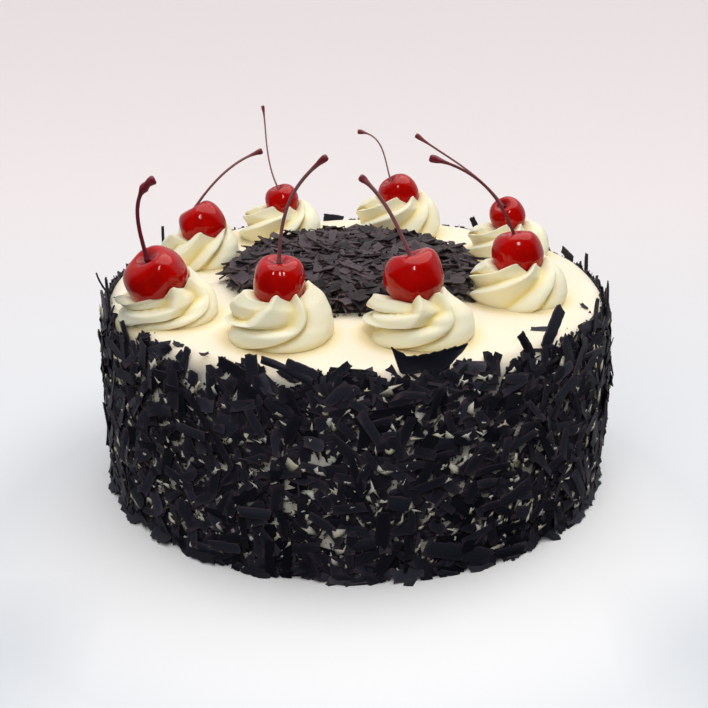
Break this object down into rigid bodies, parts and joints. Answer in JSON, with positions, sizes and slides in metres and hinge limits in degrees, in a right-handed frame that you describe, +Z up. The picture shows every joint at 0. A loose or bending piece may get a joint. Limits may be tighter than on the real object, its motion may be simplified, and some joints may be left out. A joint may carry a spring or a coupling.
{
  "type": "black forest cake",
  "caption": "Round cream-covered cake with a side coated in chocolate shavings, piped cream rosettes with stemmed cherries on top and a bed of shavings in the middle.",
  "frame": {"origin": "centre of the cake's flat underside", "axes": "+Z up, -Y towards the side with the blade of chocolate on its rim, +X to the right seen from there"},
  "size_m": [0.2191, 0.2174, 0.1512],
  "materials": {
    "cream": "soft whipped cream, satin",
    "piped_cream": "piped whipped cream, satin",
    "chocolate": "scraped dark chocolate",
    "cherry_skin": "wet glossy cherry skin",
    "cherry_stem": "smooth stalk, slightly shiny"
  },
  "bodies": {
    "root": {"cake_body": "cream", "chocolate_bed": "chocolate", "rosette_1": "piped_cream", "rosette_2": "piped_cream", "rosette_3": "piped_cream", "rosette_4": "piped_cream", "rosette_5": "piped_cream", "rosette_6": "piped_cream", "rosette_7": "piped_cream", "rosette_8": "piped_cream", "cherry_1": "cherry_skin", "cherry_2": "cherry_skin", "cherry_3": "cherry_skin", "cherry_4": "cherry_skin", "cherry_5": "cherry_skin", "cherry_6": "cherry_skin", "cherry_7": "cherry_skin", "cherry_8": "cherry_skin", "stem_1": "cherry_stem", "stem_2": "cherry_stem", "stem_3": "cherry_stem", "stem_4": "cherry_stem", "stem_5": "cherry_stem", "stem_6": "cherry_stem", "stem_7": "cherry_stem", "stem_8": "cherry_stem"}
  },
  "joints": []
}
